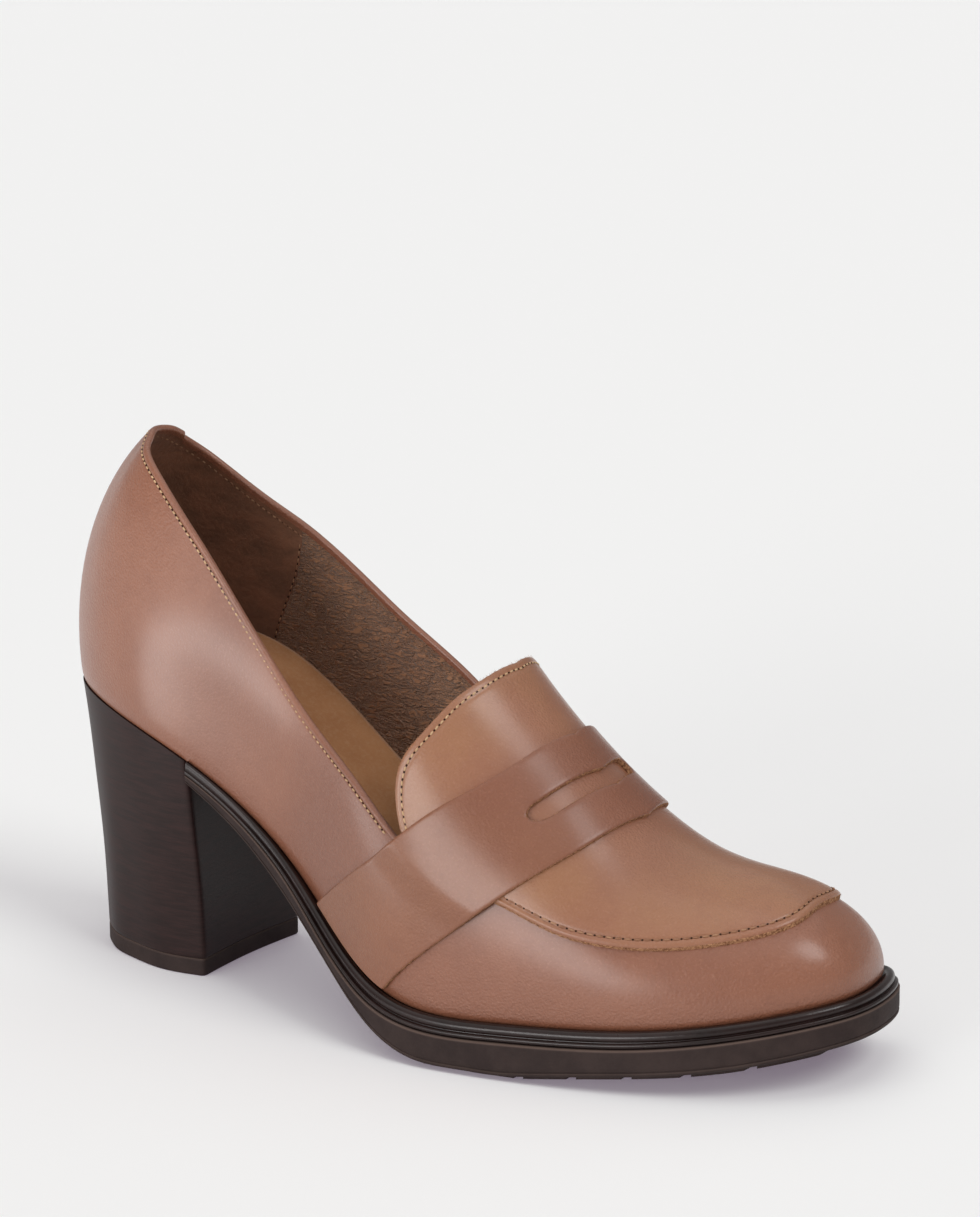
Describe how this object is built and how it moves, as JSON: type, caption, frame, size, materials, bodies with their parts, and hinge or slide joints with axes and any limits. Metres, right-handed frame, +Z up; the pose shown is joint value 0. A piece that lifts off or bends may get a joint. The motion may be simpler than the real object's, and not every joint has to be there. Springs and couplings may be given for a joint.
{
  "type": "loafer pump",
  "caption": "Slip-on loafer with a high block heel: hollow leather upper, raised apron and tongue, saddle strap with a slot, storm welt, outsole and insole. One right shoe.",
  "frame": {"origin": "centre of the bounding box in plan, on the floor plane that heel and forefoot rest on", "axes": "+X from heel to toe, -Y to the outer side of the foot, +Z up"},
  "size_m": [0.2484, 0.0874, 0.1474],
  "materials": {
    "upper": "satin, lightly waxed",
    "apron_tongue": "satin, lightly waxed",
    "saddle_strap": "satin, lightly waxed",
    "insole": "suede nap",
    "welt": "polished",
    "outsole": "matte",
    "heel_block": "stacked layers, semi-gloss",
    "top_lift": "matte"
  },
  "bodies": {
    "root": {"upper": "upper", "apron_tongue": "apron_tongue", "saddle_strap": "saddle_strap", "insole": "insole", "welt": "welt", "outsole": "outsole", "heel_block": "heel_block", "top_lift": "top_lift"}
  },
  "joints": []
}
